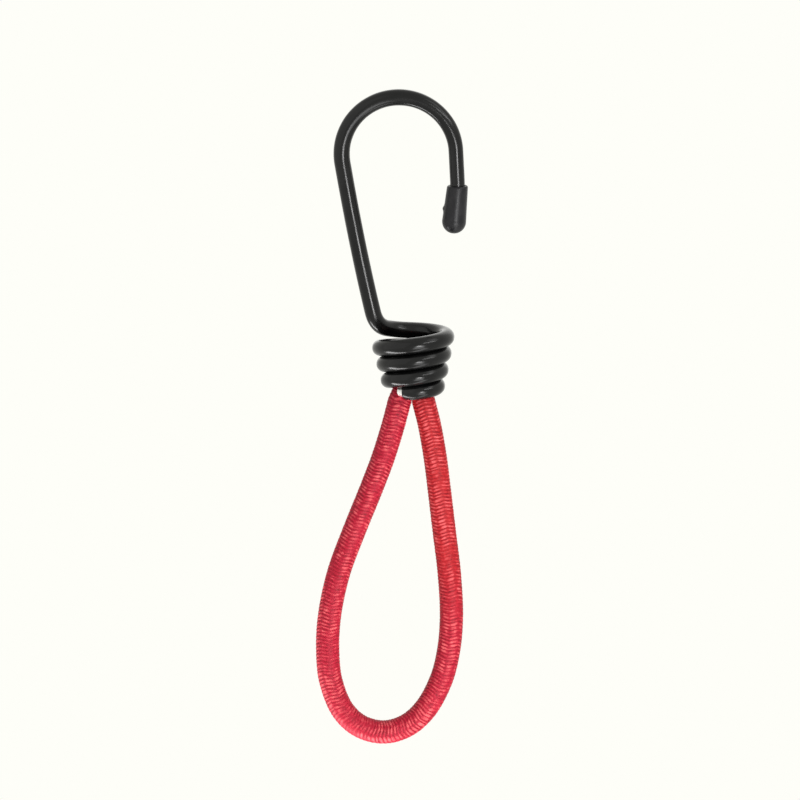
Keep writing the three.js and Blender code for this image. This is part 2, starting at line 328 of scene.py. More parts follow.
def band(here: int, there: int, sides: int, inward: bool = False) -> Faces:
    """Quads between two rings of points.

    Args:
        here: the index of the first ring's first point.
        there: the index of the second ring's first point.
        sides: the points on each.
        inward: True where the faces look to the rings' axis.

    Returns:
        The quads.
    """
    quads = [(here + k, here + (k + 1) % sides, there + (k + 1) % sides, there + k) for k in range(sides)]
    return [quad[::-1] for quad in quads] if inward else quads


def tube(rings: int, sides: int, first: int = 0, inward: bool = False) -> Faces:
    """Quads along rings of points that follow each other from an index on."""
    starts = [first + ring * sides for ring in range(rings)]
    return [quad for pair in zip(starts, starts[1:]) for quad in band(*pair, sides, inward)]


def fan(middle: int, first: int, sides: int, flip: bool = False) -> Faces:
    """Triangles between a middle point and the ring of points round it."""
    rows = [(middle, first + k, first + (k + 1) % sides) for k in range(sides)]
    return [row[::-1] for row in rows] if flip else rows


def round_angles(sides: int) -> Array:
    """The angles of equally spaced points round a ring."""
    return np.arange(sides) * FULL_TURN / sides


def unit(vector: Sequence[float]) -> Array:
    """The vector at length 1."""
    return np.asarray(vector, float) / np.linalg.norm(vector)


def run_along(points: Array) -> Array:
    """How far along the line each of its points lies."""
    return np.append(0, np.cumsum(np.linalg.norm(np.diff(points, axis=0), axis=1)))


def steps_along(length: float, step: float) -> Array:
    """Shares from 0 to 1 that divide a length into about equal steps."""
    return np.linspace(0, 1, max(2, math.ceil(length / step) + 1))


def line(start: Array, end: Array, step: float) -> Array:
    """Points on a straight line."""
    return start + steps_along(float(np.linalg.norm(end - start)), step)[:, None] * (end - start)


def bend(start: Array, corner: Array, end: Array, step: float) -> Array:
    """Points on a curve that leaves start towards a corner and reaches end from it.

    Args:
        start: the first point.
        corner: where both ends' directions meet.
        end: the last point.
        step: about how far apart the points are.

    Returns:
        The points, one to a row.
    """
    run = float(np.linalg.norm(corner - start) + np.linalg.norm(end - corner))
    share = steps_along(run, step)[:, None]
    return (1 - share) ** 2 * start + 2 * share * (1 - share) * corner + share**2 * end


def new_material(name: str) -> tuple[Material, Nodes]:
    """An empty material and its nodes.

    Args:
        name: the material's name.

    Returns:
        The material and its nodes.
    """
    material = bpy.data.materials.new(name)
    material.use_nodes = True
    return material, Nodes(material.node_tree)


@dataclass(frozen=True)
class Grain:
    """A noise pattern: its features' size, its detail and seed, and how far each axis is squeezed."""

    size: float
    detail: float
    seed: float
    squeeze: tuple[float, float, float] = (1, 1, 1)

    def signal(self, nodes: Nodes, place: Signal) -> Signal:
        """The pattern's value at a place."""
        squeezed = nodes.add("ShaderNodeMapping", {"Vector": place, "Scale": self.squeeze})
        return nodes.noise(squeezed, 1 / self.size, self.detail, self.seed)


@dataclass(frozen=True)
class Finish:
    """A surface: its slot in the record, two colours that a grain mixes, its roughness and its relief.

    Without a grain of their own, roughness and relief follow the colour's. Relief is depth metres high.
    The place is the one on the object, or the one in a named attribute.
    """

    slot: str
    name: str
    plain: Colour
    worn_and_highlight: Colour
    tone: Grain
    tone_limits: Pair = (0.35, 0.65)
    rough: Pair = (0.5, 0.5)
    rough_limits: Pair = (0.3, 0.7)
    rough_grain: Grain | None = None
    relief: Grain | None = None
    depth: float = 0.0
    metallic: float = 0.0
    specular: float = 0.5
    attribute: str = ""

    def build(self) -> Material:
        """Makes the material with its nodes.

        Returns:
            The material.
        """
        material, nodes = new_material(self.name)
        nodes.add("ShaderNodeOutputMaterial", {"Surface": self.surface(nodes)})
        return material

    def place(self, nodes: Nodes) -> Signal:
        """The place that the patterns follow, in metres.

        Args:
            nodes: the material's nodes.

        Returns:
            The place's signal.
        """
        if self.attribute:
            return nodes.add("ShaderNodeAttribute", None, "Vector", attribute_name=self.attribute)
        return nodes.add("ShaderNodeTexCoord", None, "Object")

    def surface(self, nodes: Nodes) -> Signal:
        """The surface shader.

        Args:
            nodes: the material's nodes.

        Returns:
            The shader's output.
        """
        place = self.place(nodes)
        tone = self.tone.signal(nodes, place)
        sheen = self.rough_grain.signal(nodes, place) if self.rough_grain else tone
        relief = self.relief.signal(nodes, place) if self.relief else sheen
        colour = nodes.mix(nodes.ease(tone, *self.tone_limits), self.plain, self.worn_and_highlight)
        return self.principled(nodes, colour, sheen, relief)

    def principled(self, nodes: Nodes, colour: Signal, sheen: Signal, relief: Signal) -> Signal:
        """The shader node itself.

        Args:
            nodes: the material's nodes.
            colour: the base colour.
            sheen: the pattern that the roughness follows, if it varies.
            relief: the relief's height from 0 to 1, if it has any depth.

        Returns:
            The shader's output.
        """
        smooth, coarse = self.rough
        values = {
            "Base Color": colour,
            "Metallic": self.metallic,
            "Specular IOR Level": self.specular,
            "Roughness": smooth if smooth == coarse else nodes.ease(sheen, *self.rough_limits, *self.rough),
        }
        if self.depth:
            values["Normal"] = nodes.add("ShaderNodeBump", {"Height": relief, "Distance": self.depth})
        return nodes.add("ShaderNodeBsdfPrincipled", values)


@dataclass(frozen=True)
class DippedPlastic(Finish):
    """Glossy black plastic dip on wire: slow waves in the gloss, a fine orange peel and a little dust."""

    slot: str = "wire_coating"
    name: str = "dipped_plastic"
    plain: Colour = (0.0035, 0.0035, 0.0037, 1)
    worn_and_highlight: Colour = (0.008, 0.008, 0.0078, 1)
    tone: Grain = Grain(0.006, 3, 1.5)
    tone_limits: Pair = (0.35, 0.75)
    rough: Pair = (0.17, 0.25)
    relief: Grain | None = Grain(0.003, 0, 4)
    depth: float = 0.00001
    specular: float = 0.26


@dataclass(frozen=True)
class MouldedRubber(Finish):
    """Satin black moulded cap, finely grained."""

    slot: str = "tip_rubber"
    name: str = "moulded_rubber"
    plain: Colour = (0.009, 0.009, 0.0105, 1)
    worn_and_highlight: Colour = (0.016, 0.0155, 0.017, 1)
    tone: Grain = Grain(0.0022, 3, 2)
    tone_limits: Pair = (0.35, 0.7)
    rough: Pair = (0.32, 0.42)
    relief: Grain | None = Grain(0.00016, 2, 5)
    depth: float = 0.000006
    specular: float = 0.24


@dataclass(frozen=True)
class CutSteel(Finish):
    """Bright drawn wire, sheared across, with fine drag marks."""

    slot: str = "wire_steel"
    name: str = "cut_steel"
    plain: Colour = (0.7, 0.69, 0.66, 1)
    worn_and_highlight: Colour = (0.93, 0.92, 0.89, 1)
    tone: Grain = Grain(0.0006, 4, 3, (1, 1, 9))
    rough: Pair = (0.24, 0.46)
    depth: float = 0.00003
    metallic: float = 1.0


@dataclass(frozen=True)
class ZincPlate(Finish):
    """Zinc-plated strip, cloudy and lightly scratched."""

    slot: str = "clip_steel"
    name: str = "zinc_plate"
    plain: Colour = (0.36, 0.37, 0.385, 1)
    worn_and_highlight: Colour = (0.56, 0.57, 0.58, 1)
    tone: Grain = Grain(0.0012, 4, 6)
    rough: Pair = (0.3, 0.48)
    rough_limits: Pair = (0.35, 0.65)
    rough_grain: Grain | None = Grain(0.0011, 3, 9, (1, 1, 12))
    depth: float = 0.00002
    metallic: float = 1.0


@dataclass(frozen=True)
class NaturalLatex(Finish):
    """Cream rubber strands with talc on them, which stretches with the cord."""

    slot: str = "latex"
    name: str = "natural_latex"
    plain: Colour = (0.74, 0.64, 0.44, 1)
    worn_and_highlight: Colour = (0.86, 0.82, 0.71, 1)
    tone: Grain = Grain(0.0004, 3, 2)
    rough: Pair = (0.52, 0.8)
    depth: float = 0.00003
    attribute: str = "strand_place"


@dataclass(frozen=True)
class LooseFibre(Finish):
    """Cut yarn ends of the sleeve, a little lighter in random places."""

    slot: str = "sheath_braid"
    name: str = "loose_fibre"
    plain: Colour = (0.40, 0.010, 0.022, 1)
    worn_and_highlight: Colour = (0.72, 0.06, 0.07, 1)
    tone: Grain = Grain(0.0005, 1, 4)
    tone_limits: Pair = (0.4, 0.6)
    rough: Pair = (0.55, 0.55)


@dataclass(frozen=True)
class RibRule:
    """Where a colour takes over on the braid: how much ribs and mottle count, and the limits of their sum."""

    rib: float
    mottle: float
    low: float
    high: float

    def factor(self, nodes: Nodes, rib: Signal, mottle: Signal) -> Signal:
        """How far the colour has taken over."""
        return nodes.ease(rib * self.rib + mottle * self.mottle, self.low, self.high)


@dataclass(frozen=True)
class RedBraid(Finish):
    """Tight red braid: painted highlights on the floats' crests, painted shade in the valleys, fine filaments
    and a slow drift of hue.

    The plain colour is the valleys' painted shade and the second colour the crests' painted highlight. Both
    are placed by length and turn.
    """

    slot: str = "sheath_braid"
    name: str = "red_braid"
    # painted shade of the valleys between the floats
    plain: Colour = (0.21, 0.002, 0.009, 1)
    # painted highlight of the floats' crests
    worn_and_highlight: Colour = (0.87, 0.14, 0.15, 1)
    crimson: Colour = (0.56, 0.013, 0.042, 1)
    scarlet: Colour = (0.58, 0.017, 0.022, 1)
    # stretch of the cord, in metres from its first cut end, over which the colour shifts from crimson to
    # scarlet
    hue_drift_run: Pair = (0.122, 0.150)
    tone: Grain = Grain(0.0012, 2, 5)
    rough: Pair = (0.5, 0.66)
    relief: Grain = Grain(0.00009, 1, 3, (0.3, 0.3, 1))
    depth: float = 0.00004
    specular: float = 0.25
    attribute: str = "sleeve_place"
    patches: Grain = Grain(0.005, 2, 9)
    patch_limits: Pair = (0.38, 0.6)
    patch_strength: Pair = (0.35, 1)
    middle_rib: float = 0.62
    # where the valleys' painted shade gives way to the floats' colour
    above_valley: RibRule = RibRule(0.85, 0.7, 0.3, 1.15)
    # where the crests' painted highlight takes over
    on_crest: RibRule = RibRule(0.8, 0.8, 0.9, 1.3)

    def surface(self, nodes: Nodes) -> Signal:
        """The surface shader.

        Args:
            nodes: the material's nodes.

        Returns:
            The shader's output.
        """
        rib = nodes.add("ShaderNodeAttribute", None, "Fac", attribute_name="rib")
        place = self.place(nodes)
        mottle = self.tone.signal(nodes, place)
        run = nodes.add("ShaderNodeSeparateXYZ", {"Vector": place}, "Z")
        # colour shifts from crimson to scarlet along the cord's length
        hue_drift = nodes.mix(nodes.ease(run, *self.hue_drift_run), self.crimson, self.scarlet)
        # noise patches that weaken the painted highlight and painted shade in places
        patches = self.patches.signal(nodes, place)
        clear = nodes.ease(patches, *self.patch_limits, *self.patch_strength)
        rib = self.middle_rib + (rib - self.middle_rib) * clear
        # painted highlight on the crests, then painted shade in the valleys
        raised = nodes.mix(self.on_crest.factor(nodes, rib, mottle), hue_drift, self.worn_and_highlight)
        colour = nodes.mix(self.above_valley.factor(nodes, rib, mottle), self.plain, raised)
        return self.principled(nodes, colour, mottle, self.relief.signal(nodes, place))


def hang(piece: Thing, body: Body, node: str | None, slot: str) -> None:
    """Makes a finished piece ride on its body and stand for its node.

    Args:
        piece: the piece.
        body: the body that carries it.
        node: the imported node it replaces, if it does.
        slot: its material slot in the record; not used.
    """
    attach(piece, body.value)
    if node:
        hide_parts(node)
    log.info("%s: %d faces on %s", piece.name, len(piece.data.polygons), body.value)


@dataclass(frozen=True)
class ConeCoil:
    """The winding rule of the conical coil, in a frame whose axis is the loop's swivel."""

    origin: tuple[float, ...]
    lean: float
    top_radius: float = 0.0082
    end_radius: float = 0.00505
    pitch: float = 0.00374
    start_turn: float = 0.125
    end_turn: float = 3.84
    foot_rise: float = 0.0021
    foot_turn: float = 0.25
    tuck_turn: float = 0.5
    tuck_in: float = 0.0015
    tuck_rise: float = 0.00062
    nudge: float = 1e-4

    @classmethod
    def on_swivel(cls, record: Mapping[str, Any]) -> "ConeCoil":
        """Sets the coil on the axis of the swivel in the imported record.

        Args:
            record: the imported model's record.

        Returns:
            The coil.
        """
        swivel = next(joint for joint in record["behaviour"]["joints"] if joint["name"] == "loop_swivel")
        across, _, down = swivel["axis"]
        return cls(origin=tuple(swivel["pos_m"]), lean=math.atan2(across, -down))

    def leant(self, points: Array, way: int) -> Array:
        """Points turned by the coil's lean, or with way -1 turned back.

        Args:
            points: the points, in the last axis.
            way: 1 out of the coil's frame, -1 into it.

        Returns:
            The turned points.
        """
        x, y, z = np.moveaxis(points, -1, 0)
        sine, cosine = way * math.sin(self.lean), math.cos(self.lean)
        return np.stack([cosine * x - sine * z, y, sine * x + cosine * z], axis=-1)

    def to_object(self, local: Array) -> Array:
        """Moves points from the coil's frame to the object's."""
        return self.leant(np.asarray(local, float), 1) + self.origin

    def to_coil(self, points: Array) -> Array:
        """Moves points from the object's frame to the coil's."""
        return self.leant(np.asarray(points, float) - self.origin, -1)

    @property
    def taper(self) -> float:
        """How much nearer to the axis each turn of the cone is."""
        return (self.top_radius - self.end_radius) / self.end_turn

    def tuck_share(self, turn: Array | float) -> Array:
        """How much of the tuck is in force at a turn, from none to one at the coil's end."""
        return (np.maximum(0, np.asarray(turn) - self.end_turn + self.tuck_turn) / self.tuck_turn) ** 2

    def radius_at(self, turn: Array | float) -> Array:
        """The centre-line's distance from the axis."""
        return self.top_radius - self.taper * np.asarray(turn) - self.tuck_in * self.tuck_share(turn)

    def height_at(self, turn: Array | float) -> Array:
        """The centre-line's height in the coil's frame."""
        foot = self.foot_rise * np.maximum(0, 1 - np.asarray(turn) / self.foot_turn) ** 2
        return foot - self.pitch * np.asarray(turn) + self.tuck_rise * self.tuck_share(turn) ** 2

    def centre(self, turn: Array | float) -> Array:
        """Points of the wire's centre-line at the turns, in the object's frame.

        Args:
            turn: how many turns from the coil's top.

        Returns:
            The points, in the last axis.
        """
        turn = np.asarray(turn, float)
        angle, radius = math.pi - FULL_TURN * turn, self.radius_at(turn)
        place = [radius * np.cos(angle), radius * np.sin(angle), self.height_at(turn)]
        return self.to_object(np.stack(place, axis=-1))

    def direction(self, turn: float) -> Array:
        """The way the wire runs at a turn."""
        return unit(self.centre(turn + self.nudge) - self.centre(turn - self.nudge))

    def room(self, local: Array, wall: float, past_end: float) -> Array:
        """How far from the axis there is room inside the coil, and beside and below its lowest turn.

        Args:
            local: places in the coil's frame.
            wall: half the wire's thickness and the clearance from it.
            past_end: how far the bare wire and the clearance go on past the last turn, in turns.

        Returns:
            The free distance from the axis at each place.
        """
        x, y, height = np.moveaxis(local, -1, 0)
        share = np.mod(0.5 - np.arctan2(y, x) / FULL_TURN, 1)
        lowest = share + np.floor(self.end_turn + past_end - share)
        below = self.height_at(lowest) - height
        beside = self.radius_at(lowest) - np.sqrt(np.maximum(wall**2 - below**2, 0))
        cone = self.top_radius - self.taper * np.maximum(0, -height / self.pitch) - wall
        cone = np.where(below > 0, np.inf, cone)
        return np.where(np.abs(below) >= wall, cone, np.minimum(cone, beside))


@dataclass(frozen=True)
class Wire:
    """The coated wire's section."""

    diameter: float = 0.0034
    jacket_wall: float = 0.00045
    core_clearance: float = 0.00002
    bare_end: float = 0.0015
    stripped_turn: float = 0.012
    swell: float = 0.00018
    swell_run: Pair = (0.016, 0.036)

    @property
    def radius(self) -> float:
        """Half the coated wire's thickness."""
        return self.diameter / 2

    @property
    def core_radius(self) -> float:
        """Half the steel's thickness."""
        return self.radius - self.jacket_wall - self.core_clearance


@dataclass(frozen=True)
class WireRoute:
    """Where the wire runs, and what the cap needs of it."""

    covered: Array
    bare: Array
    cap_mouth: Array
    tip_end: Array
    tip_direction: Array


@dataclass
class WireHook:
    """The bent wire with its plastic skin, and the cap on its tip."""

    coil: ConeCoil
    wire: Wire = Wire()
    bow_radius: float = 0.01305
    nose_length: float = 0.00685
    nose_flare: float = math.radians(2.8)
    tip_bend_radius: float = 0.016
    tip_lean: float = math.radians(5.5)
    tip_length: float = 0.0073
    shank_sag: float = math.radians(1.8)
    elbow_run: float = 0.0034
    ring_step: float = 0.00036
    jacket_sides: int = 36
    core_sides: int = 24
    dip_ripple: float = 0.000015
    dip_ripple_size: float = 0.0028
    dip_seed: float = 3.0
    cap_length: float = 0.01115
    cap_mouth_radius: float = 0.0024
    cap_dome_radius: float = 0.00275
    cap_rim_radius: float = 0.00045
    cap_bore_edge: float = 0.00007
    cap_clearance: float = 0.00006
    cap_sides: int = 72
    cap_dome_steps: int = 14
    cap_skirt_steps: int = 40
    nub_height: float = 0.0003
    nub_spread: float = 0.00055
    nub_rise_share: float = 0.5
    cap_bend_run: float = 0.0035

    @cached_property
    def route(self) -> WireRoute:
        """Follows the wire from the tip over the bow and down the shank into the coil.

        Returns:
            The route of the covered wire and of its bare end, and the tip's places.
        """
        coil, step = self.coil, self.ring_step
        foot = coil.centre(coil.start_turn)
        corner = foot - self.elbow_run * coil.direction(coil.start_turn)
        hook_lean = math.atan2(corner[1], -corner[2])
        right = np.array([1.0, 0.0, 0.0])
        up = np.array([0.0, -math.sin(hook_lean), math.cos(hook_lean)])

        def way(angle: float | Array) -> Array:
            """The direction at an angle in the hook's plane."""
            return np.multiply.outer(np.cos(angle), right) + np.multiply.outer(np.sin(angle), up)

        def arc(centre: Array, radius: float, start: float, end: float) -> Array:
            """Points of an arc in the hook's plane."""
            share = steps_along(radius * abs(end - start), step)
            return centre + radius * way(start + share * (end - start))

        bow_centre = (self.wire.radius - self.bow_radius) * up
        to_corner = corner - bow_centre
        corner_angle = math.atan2(to_corner @ up, to_corner @ right) + FULL_TURN
        shank_angle = corner_angle - math.acos(self.bow_radius / np.linalg.norm(to_corner)) - self.shank_sag
        bow = arc(bow_centre, self.bow_radius, self.nose_flare, shank_angle)
        nose_direction = way(self.nose_flare - math.pi / 2)
        nose_end = bow[0] + self.nose_length * nose_direction
        bend_centre = nose_end - self.tip_bend_radius * way(self.nose_flare)
        tip_bend = arc(bend_centre, self.tip_bend_radius, -self.tip_lean, self.nose_flare)
        bend_run = self.tip_bend_radius * math.tan((self.nose_flare + self.tip_lean) / 2)
        tip_direction = way(-self.tip_lean - math.pi / 2)
        tip_end = tip_bend[0] + self.tip_length * tip_direction

        shank_way = way(shank_angle + math.pi / 2)
        shank_bend = bow[-1] + np.linalg.norm(corner - bow[-1]) / 2 * shank_way
        elbow_top = corner + self.elbow_run * unit(shank_bend - corner)
        coil_length = FULL_TURN * coil.top_radius * (coil.end_turn - coil.start_turn)
        turns = coil.start_turn + steps_along(coil_length, step) * (coil.end_turn - coil.start_turn)
        stripped = np.count_nonzero(turns > coil.end_turn - self.wire.stripped_turn)
        wire = np.vstack([
            line(tip_end, tip_bend[0], step),
            tip_bend[1:],
            line(nose_end, bow[0], step)[1:],
            bow[1:],
            bend(bow[-1], shank_bend, elbow_top, step)[1:],
            bend(elbow_top, corner, foot, step)[1:],
            coil.centre(turns)[1:],
        ])
        bare_end = wire[-1] + self.wire.bare_end * coil.direction(coil.end_turn)
        bare = np.vstack([wire, line(wire[-1], bare_end, step)[1:]])
        cap_mouth = nose_end + bend_run * nose_direction
        return WireRoute(wire[:-stripped], bare, cap_mouth, tip_end, tip_direction)

    @cached_property
    def sweep_recipe(self) -> Recipe:
        """A round wire swept along a chain of edges, with the slow waves that dipping leaves.

        Returns:
            The recipe, with its radius, sides, closed ends and ripple as named inputs.
        """
        others = {"Sides": "NodeSocketInt", "Close Ends": "NodeSocketBool"}
        recipe = Recipe("wire_sweep", ("Radius", "Ripple", "Ripple Size", "Seed"), others)
        given = recipe.given
        circle = {"Resolution": given("Sides"), "Radius": given("Radius")}
        sweep = {
            "Curve": recipe.add("GeometryNodeMeshToCurve", {"Mesh": given("Geometry")}),
            "Profile Curve": recipe.add("GeometryNodeCurvePrimitiveCircle", circle, mode="RADIUS"),
            "Scale": recipe.attribute("thickness"),
            "Fill Caps": given("Close Ends"),
        }
        place = recipe.add("GeometryNodeInputPosition")
        waves = recipe.noise(place, given("Ripple Size") ** -1, 1.0, given("Seed"))
        height = (waves - 0.5) * 2 * given("Ripple")
        recipe.end(recipe.raised(recipe.add("GeometryNodeCurveToMesh", sweep), height))
        return recipe

    def swept(self, name: str, points: Array, radius: float, finish: Finish, values: dict) -> Thing:
        """A round wire along a line from the tip on, where the dip is thin.

        Args:
            name: the piece's name.
            points: the line.
            radius: half the wire's thickness at the tip.
            finish: the surface.
            values: the recipe's sides, closed ends and ripple.

        Returns:
            The piece, with the recipe on it.
        """
        piece = new_piece(name, points, [(k, k + 1) for k in range(len(points) - 1)])
        swell = self.wire.swell * np.interp(run_along(points), self.wire.swell_run, (0, 1))
        set_attribute(piece, "thickness", 1 + swell / radius)
        shared = {"Radius": radius, "Ripple Size": self.dip_ripple_size, "Seed": self.dip_seed}
        self.sweep_recipe.apply(piece, finish.build(), shared | values)
        return piece

    def cap_profile(self, bore: float, bore_end: float) -> list[Pair]:
        """The cap's outline from its dome over the skirt and rim into the bore.

        Args:
            bore: the bore's radius.
            bore_end: the height of its blind end over the dome.

        Returns:
            Radius and height of each ring.
        """
        dome, mouth, rim = self.cap_dome_radius, self.cap_mouth_radius, self.cap_rim_radius
        length, edge = self.cap_length, self.cap_bore_edge
        quarter = np.linspace(0, math.pi / 2, self.cap_dome_steps)
        skirt = np.linspace(0, 1, self.cap_skirt_steps)[1:-1]
        profile = [(dome * math.sin(a), dome - dome * math.cos(a)) for a in quarter[1:]]
        profile += [(dome + (mouth - dome) * s, dome + (length - rim - dome) * s) for s in skirt]
        profile += [(mouth - rim + rim * math.cos(a), length - rim + rim * math.sin(a)) for a in quarter[::2]]
        profile += [(bore + edge, length), (bore, length - edge), (bore, (length + bore_end) / 2)]
        return profile + [(bore, bore_end + edge), (bore - edge, bore_end)]

    def cap(self) -> Thing:
        """The moulded cap, turned round the tip's axis, with its gate nub and a bore for the wire.

        Returns:
            The cap.
        """
        route = self.route
        length, sides, spread = self.cap_length, self.cap_sides, self.nub_spread
        bore = self.wire.radius + self.cap_clearance
        bore_end = length - float(np.linalg.norm(route.tip_end - route.cap_mouth)) - self.cap_clearance
        axis = -route.tip_direction
        side = unit(np.cross([0, 1, 0], axis))
        depth = np.cross(axis, side)
        start = route.cap_mouth + length * route.tip_direction
        turn = round_angles(sides)
        profile = self.cap_profile(bore, bore_end)
        points = [start]
        for radius, height in profile:
            reach = np.full(sides, radius)
            if radius > bore + self.cap_rim_radius:
                along = (height - self.nub_rise_share * length) / spread
                reach += self.nub_height * np.exp(-(along**2) - ((turn - math.pi) * radius / spread) ** 2)
            ring = np.outer(reach * np.cos(turn), side) + np.outer(reach * np.sin(turn), depth)
            bent = math.tan(self.tip_lean) * max(0.0, 1 - (length - height) / self.cap_bend_run) ** 2
            points.extend(start + np.outer(height + bent * reach * np.cos(turn), axis) + ring)
        points.append(start + bore_end * axis)
        last = 1 + (len(profile) - 1) * sides
        faces = fan(0, 1, sides, flip=True) + tube(len(profile), sides, 1) + fan(len(points) - 1, last, sides)
        return new_piece("tip_cover", np.array(points), faces, MouldedRubber().build())

    def build(self) -> None:
        """Makes the hook's pieces and hangs them on its body."""
        wire, route = self.wire, self.route
        dipped = {"Sides": self.jacket_sides, "Close Ends": False, "Ripple": self.dip_ripple}
        skin = self.swept("wire_skin", route.covered, wire.radius, DippedPlastic(), dipped)
        wall = skin.modifiers.new("wall", "SOLIDIFY")
        wall.thickness, wall.offset = wire.jacket_wall, -1
        drawn = {"Sides": self.core_sides, "Close Ends": True, "Ripple": 0.0}
        core = self.swept("wire_core", route.bare, wire.core_radius, CutSteel(), drawn)
        hang(settle(skin), Body.HOOK, "pvc_jacket", DippedPlastic.slot)
        hang(settle(core), Body.HOOK, "steel_wire", CutSteel.slot)
        hang(self.cap(), Body.HOOK, "tip_cap", MouldedRubber.slot)


@dataclass(frozen=True)
class ClipShape:
    """The crimped clip: a strip bent round both cord ends."""

    height: float = 0.004
    strip: float = 0.0006
    depth: float = 0.0044
    span: float = 0.003
    seam: float = 0.0004
    edge_radius: float = 0.00013
    dent_depth: float = 0.00022
    dent_spread: float = 0.0008
    bend_steps: int = 22
    face_steps: int = 14
    height_steps: int = 18
    edge_steps: int = 4
    packed_clearance: float = 0.0003

    def seat(self, coil: ConeCoil, wire: Wire) -> float:
        """The height of the clip's lower face in the coil's frame, where the cone is too narrow for it.

        Args:
            coil: the coil.
            wire: its wire.

        Returns:
            The height.
        """
        half_width = (self.span + self.depth) / 2 + self.strip
        inside = coil.top_radius - wire.radius - self.packed_clearance
        return -coil.pitch * (inside - half_width) / coil.taper


@dataclass
class CordGrip:
    """The clip that binds the two ends of the cord."""

    coil: ConeCoil
    bottom: float
    shape: ClipShape = ClipShape()

    def centre_line(self) -> Array:
        """The strip's middle line, from the seam round the back to the seam again.

        Returns:
            Its points and its outward directions in the plane of the clip, four numbers to a row.
        """
        shape = self.shape
        middle, half = (shape.depth + shape.strip) / 2, shape.span / 2
        front = np.linspace(shape.seam / 2, half, shape.face_steps)
        back = np.linspace(half, -half, 2 * shape.face_steps)
        angle = np.linspace(-math.pi / 2, math.pi / 2, shape.bend_steps)

        def flat(x: Array, side: int) -> Array:
            """Rows of a straight run, on the front with side -1."""
            return np.column_stack(np.broadcast_arrays(x, side * middle, 0.0, float(side)))

        def turned(side: int) -> Array:
            """Rows of a bend, on the left with side -1."""
            out = side * np.column_stack([np.cos(angle), np.sin(angle)])
            return np.hstack([out * middle + (side * half, 0), out])

        runs = [flat(front, -1)[:-1], turned(1), flat(back, 1)[1:-1], turned(-1), flat(-front[::-1], -1)[1:]]
        return np.vstack(runs)

    def section(self) -> list[Pair]:
        """The strip's section with rounded edges.

        Returns:
            How far out and how high from the middle each of its points lies.
        """
        shape = self.shape
        edge = shape.edge_radius
        out, high = shape.strip / 2, shape.height / 2
        rise = np.linspace(edge - high, high - edge, shape.height_steps)
        turn = np.linspace(0, math.pi / 2, shape.edge_steps)[1:]
        corner = [(out - edge + edge * math.cos(a), high - edge + edge * math.sin(a)) for a in turn]
        upper = [(out, z) for z in rise] + corner + [(-x, z) for x, z in corner[::-1]]
        return upper + [(-x, -z) for x, z in upper]

    def pressed(self, x: float, rise: float) -> float:
        """How deep the two dents of the crimping press are at a place on the strip's outside.

        Args:
            x: the place's distance from the middle.
            rise: its height from the middle.

        Returns:
            The depth.
        """
        shape = self.shape
        spots = [(x - spot) ** 2 + rise**2 for spot in (-shape.span / 2, shape.span / 2)]
        return shape.dent_depth * sum(math.exp(-spot / shape.dent_spread**2) for spot in spots)

    def build(self) -> None:
        """Makes the clip and hangs it on the grip."""
        path, section = self.centre_line(), self.section()
        middle = self.bottom + self.shape.height / 2
        rows = []
        for x, y, out_x, out_y in path:
            for out, rise in section:
                reach = out - (self.pressed(x, rise) if out > 0 else 0.0)
                rows.append((x + out_x * reach, y + out_y * reach, middle + rise))
        sides, rings = len(section), len(path)
        ends = [tuple(range(sides))[::-1], tuple(range((rings - 1) * sides, rings * sides))]
        points = self.coil.to_object(np.array(rows))
        clip = new_piece("crimp_clip", points, tube(rings, sides) + ends, ZincPlate().build())
        hang(clip, Body.GRIP, "cord_clip", ZincPlate.slot)


@dataclass(frozen=True)
class BraidShape:
    """The sleeve's braid: zigzag floats in columns round the cord."""

    pitch: float = 0.0008
    columns: float = 8.0
    slant: float = 0.22
    relief: float = 0.00011
    wander: float = 0.8
    wander_length: float = 0.004
    wander_scale: float = 5.0
    twist_length: float = 0.06
    overlap: float = 0.6
    half_float: float = 0.53
    end_drop: float = 0.32
    end_power: float = 2.5
    strand_shift: float = 17.3
    seed: float = 5.0


@dataclass(frozen=True)
class FibreShape:
    """The sleeve's cut yarn ends: their count on each rim, and how they stand."""

    rows: int = 84
    length: float = 0.0009
    lengths: Pair = (0.45, 1.25)
    radius: float = 0.00006
    point: float = 0.6
    sides: int = 4
    splay: float = 0.45
    wobble: float = 0.35
    seed: int = 11


@dataclass(frozen=True)
class Rings:
    """Rings along the cord: centres, directions across and along, runs from the cut end and reaches."""

    centre: Array
    across: Array
    along: Array
    run: Array
    reach: Array

    def outline(self, pick: Array, turn: Array, offset: Sequence[float], radius: float) -> Array:
        """Round outlines inside the cord, moved in as far as the cord is pressed.

        Args:
            pick: which rings.
            turn: the angles of the outline's points.
            offset: the outline's centre, across and to the back, as shares of the cord's radius.
            radius: the outline's radius as a share of the cord's.

        Returns:
            The points, ring by ring.
        """
        x = offset[0] + radius * np.cos(turn)
        y = offset[1] + radius * np.sin(turn)
        angle = np.mod(np.arctan2(y, x), FULL_TURN)
        known = np.linspace(0, FULL_TURN, self.reach.shape[1] + 1)
        closed = np.hstack([self.reach, self.reach[:, :1]])
        reach = np.stack([np.interp(angle, known, closed[index]) for index in pick])
        points = self.centre[pick][:, None] + self.across[pick][:, None] * (x * reach)[..., None]
        points[..., 1] += y * reach
        return points

    def ends_out(self, length: float) -> Array:
        """Steps of a length out of the cord's two ends."""
        return OUT_OF_ENDS * self.along[BOTH_ENDS][:, None] * length


